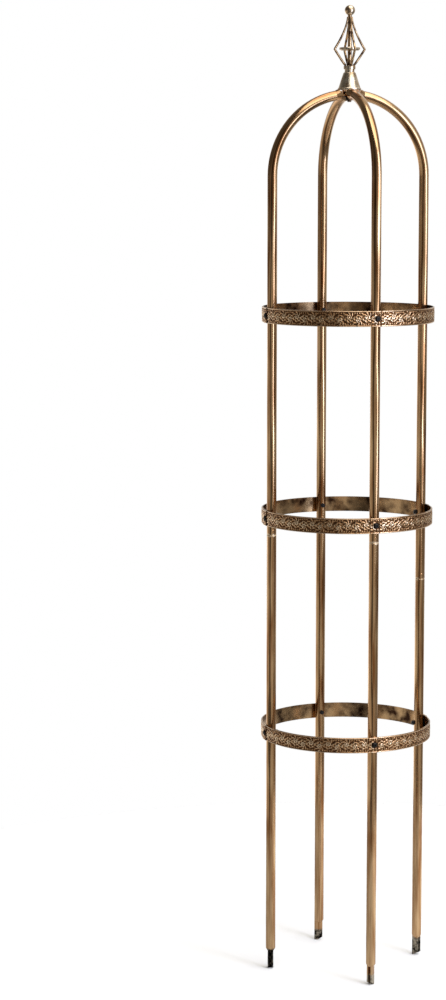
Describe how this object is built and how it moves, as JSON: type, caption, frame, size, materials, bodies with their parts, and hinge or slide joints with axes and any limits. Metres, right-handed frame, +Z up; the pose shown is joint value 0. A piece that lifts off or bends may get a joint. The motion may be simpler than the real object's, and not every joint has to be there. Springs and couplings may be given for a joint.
{
  "type": "garden obelisk",
  "caption": "Free-standing garden obelisk for climbing plants: bent tubular poles tied by embossed ring bands under an open cage finial.",
  "frame": {"origin": "on the ground on the middle axis, at the height of the tips of the feet", "axes": "+Z up along the middle axis; the poles stand on +X, +Y, -X and -Y"},
  "size_m": [0.3444, 0.3444, 1.9],
  "materials": {
    "pole_bronze": "steel tube with a satin burnished-bronze finish",
    "band_bronze": "embossed steel sheet with an antiqued bronze finish, dark in the hollows",
    "finial_bronze": "cast and turned metal with a burnished bronze finish",
    "black_fixings": "blackened steel, satin"
  },
  "bodies": {
    "root": {"lower_pole_1": "pole_bronze", "lower_pole_2": "pole_bronze", "lower_pole_3": "pole_bronze", "lower_pole_4": "pole_bronze", "upper_pole_1": "pole_bronze", "upper_pole_2": "pole_bronze", "upper_pole_3": "pole_bronze", "upper_pole_4": "pole_bronze", "bottom_ring_band_1": "band_bronze", "bottom_ring_band_2": "band_bronze", "bottom_ring_band_3": "band_bronze", "bottom_ring_band_4": "band_bronze", "middle_ring_band_1": "band_bronze", "middle_ring_band_2": "band_bronze", "middle_ring_band_3": "band_bronze", "middle_ring_band_4": "band_bronze", "top_ring_band_1": "band_bronze", "top_ring_band_2": "band_bronze", "top_ring_band_3": "band_bronze", "top_ring_band_4": "band_bronze", "bottom_ring_bolts": "black_fixings", "middle_ring_bolts": "black_fixings", "top_ring_bolts": "black_fixings", "bottom_ring_nuts": "black_fixings", "middle_ring_nuts": "black_fixings", "top_ring_nuts": "black_fixings", "crown_washer": "black_fixings", "crown_nut": "black_fixings", "finial_base": "finial_bronze", "finial_collar": "finial_bronze", "finial_spindle": "finial_bronze", "finial_disc": "finial_bronze", "finial_ball": "finial_bronze", "finial_bar_1": "finial_bronze", "finial_bar_2": "finial_bronze", "finial_bar_3": "finial_bronze", "finial_bar_4": "finial_bronze"}
  },
  "joints": []
}
